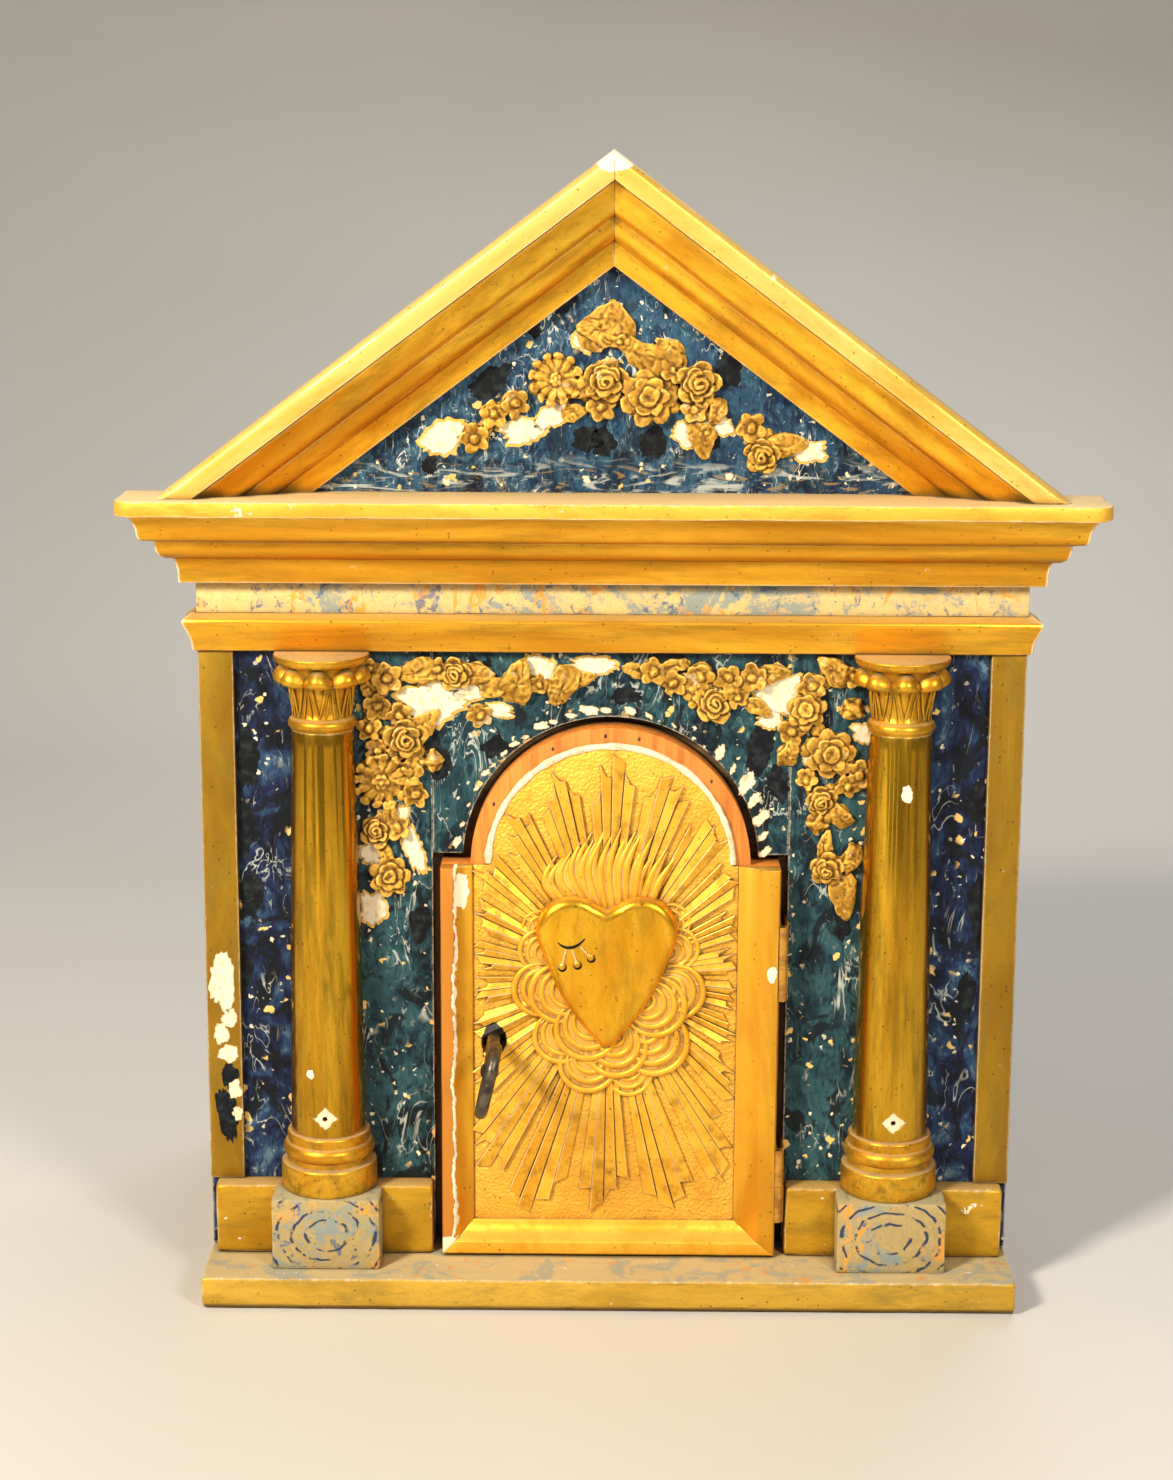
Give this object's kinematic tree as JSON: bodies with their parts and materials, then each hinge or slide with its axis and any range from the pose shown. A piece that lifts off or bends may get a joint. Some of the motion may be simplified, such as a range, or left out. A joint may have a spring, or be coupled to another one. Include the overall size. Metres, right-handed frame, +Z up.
{
  "type": "tabernacle box",
  "caption": "Altar tabernacle: a wooden cabinet behind a gilded and marbled front with an arched hinged door, lock and key, engaged columns and a pediment.",
  "frame": {"origin": "on the underside of the base board, on the centre line, in the plane of the front of the gilded side strips", "axes": "+X to the viewer's right, +Y away from the viewer into the cabinet, +Z up"},
  "size_m": [0.597, 0.4197, 0.717],
  "materials": {
    "gold_leaf": "worn gold leaf over gesso on carved wood",
    "gilded_base": "gilded edge and marbled top on wood",
    "carved_gold": "gilded applied carving, dusty and cracked",
    "door_gold": "burnished and stippled gold leaf on gesso",
    "blue_marbling": "blue and teal painted marbling with flecks and chips",
    "cream_marbling": "cream painted marbling with blue clouds and ochre veins",
    "bare_door_wood": "bare orange-brown softwood",
    "old_wood": "unpainted aged boards",
    "hinge_metal": "old brass with remains of gilding",
    "worn_brass": "dull worn brass",
    "dark_iron": "dark forged iron with rubbed edges"
  },
  "bodies": {
    "root": {"base_board": "gilded_base", "cabinet_floor": "old_wood", "cabinet_side_left": "old_wood", "cabinet_side_right": "old_wood", "cabinet_back": "old_wood", "cabinet_top": "old_wood", "panel_stile_left": "blue_marbling", "panel_stile_right": "blue_marbling", "arch_head_board": "blue_marbling", "rebate_stile_left": "old_wood", "rebate_stile_right": "old_wood", "rebate_arch": "old_wood", "side_strip_left": "gold_leaf", "side_strip_right": "gold_leaf", "plinth_block_left": "gold_leaf", "plinth_block_right": "gold_leaf", "pedestal_left": "cream_marbling", "pedestal_right": "cream_marbling", "column_base_left": "gold_leaf", "column_base_right": "gold_leaf", "column_shaft_left": "gold_leaf", "column_shaft_right": "gold_leaf", "capital_left": "gold_leaf", "capital_right": "gold_leaf", "architrave_front": "gold_leaf", "architrave_returns": "gold_leaf", "frieze_board": "cream_marbling", "cornice_moulding_front": "gold_leaf", "cornice_moulding_returns": "gold_leaf", "cornice_top_board": "gold_leaf", "pediment_board": "blue_marbling", "pediment_braces": "old_wood", "raking_moulding_left": "gold_leaf", "raking_moulding_right": "gold_leaf", "raking_cap_left": "gold_leaf", "raking_cap_right": "gold_leaf", "pediment_garland": "carved_gold", "garland_left": "carved_gold", "garland_right": "carved_gold", "hinge_leaf_frame_upper": "hinge_metal", "hinge_leaf_frame_lower": "hinge_metal", "hinge_pins": "dark_iron", "hinge_screws_frame": "dark_iron", "strike_plate": "worn_brass"},
    "door": {"door_board": "bare_door_wood", "door_field": "door_gold", "door_rail_bottom": "door_gold", "door_stile_left": "door_gold", "door_stile_right": "door_gold", "sacred_heart": "door_gold", "cloud_wreath": "door_gold", "hinge_leaf_door_upper": "hinge_metal", "hinge_leaf_door_lower": "hinge_metal", "hinge_screws_door": "dark_iron", "lock_case": "dark_iron", "lock_cover": "dark_iron", "lock_screws": "dark_iron"},
    "curtain": {"lock_curtain": "worn_brass"},
    "bolt": {"lock_bolt": "dark_iron"},
    "key": {"key": "dark_iron"}
  },
  "joints": [
    {"name": "door_hinge", "type": "hinge", "parent": "root", "child": "door", "pos_m": [0.1078, -0.0126, 0.1441], "axis": [0, 0, 1], "range_deg": [0, 115]},
    {"name": "key_turn", "type": "hinge", "parent": "door", "child": "curtain", "pos_m": [-0.073, 0.028, 0.1675], "axis": [0, 1, 0], "range_deg": [0, 360]},
    {"name": "bolt_throw", "type": "slide", "parent": "door", "child": "bolt", "axis": [-1, 0, 0], "range_m": [0, 0.0115]},
    {"name": "key_withdraw", "type": "slide", "parent": "curtain", "child": "key", "axis": [0, -1, 0], "range_m": [0, 0.05]}
  ],
  "couplings": [
    {"joint": "bolt_throw", "follows": "key_turn", "m_per_rad": 0.00175}
  ]
}
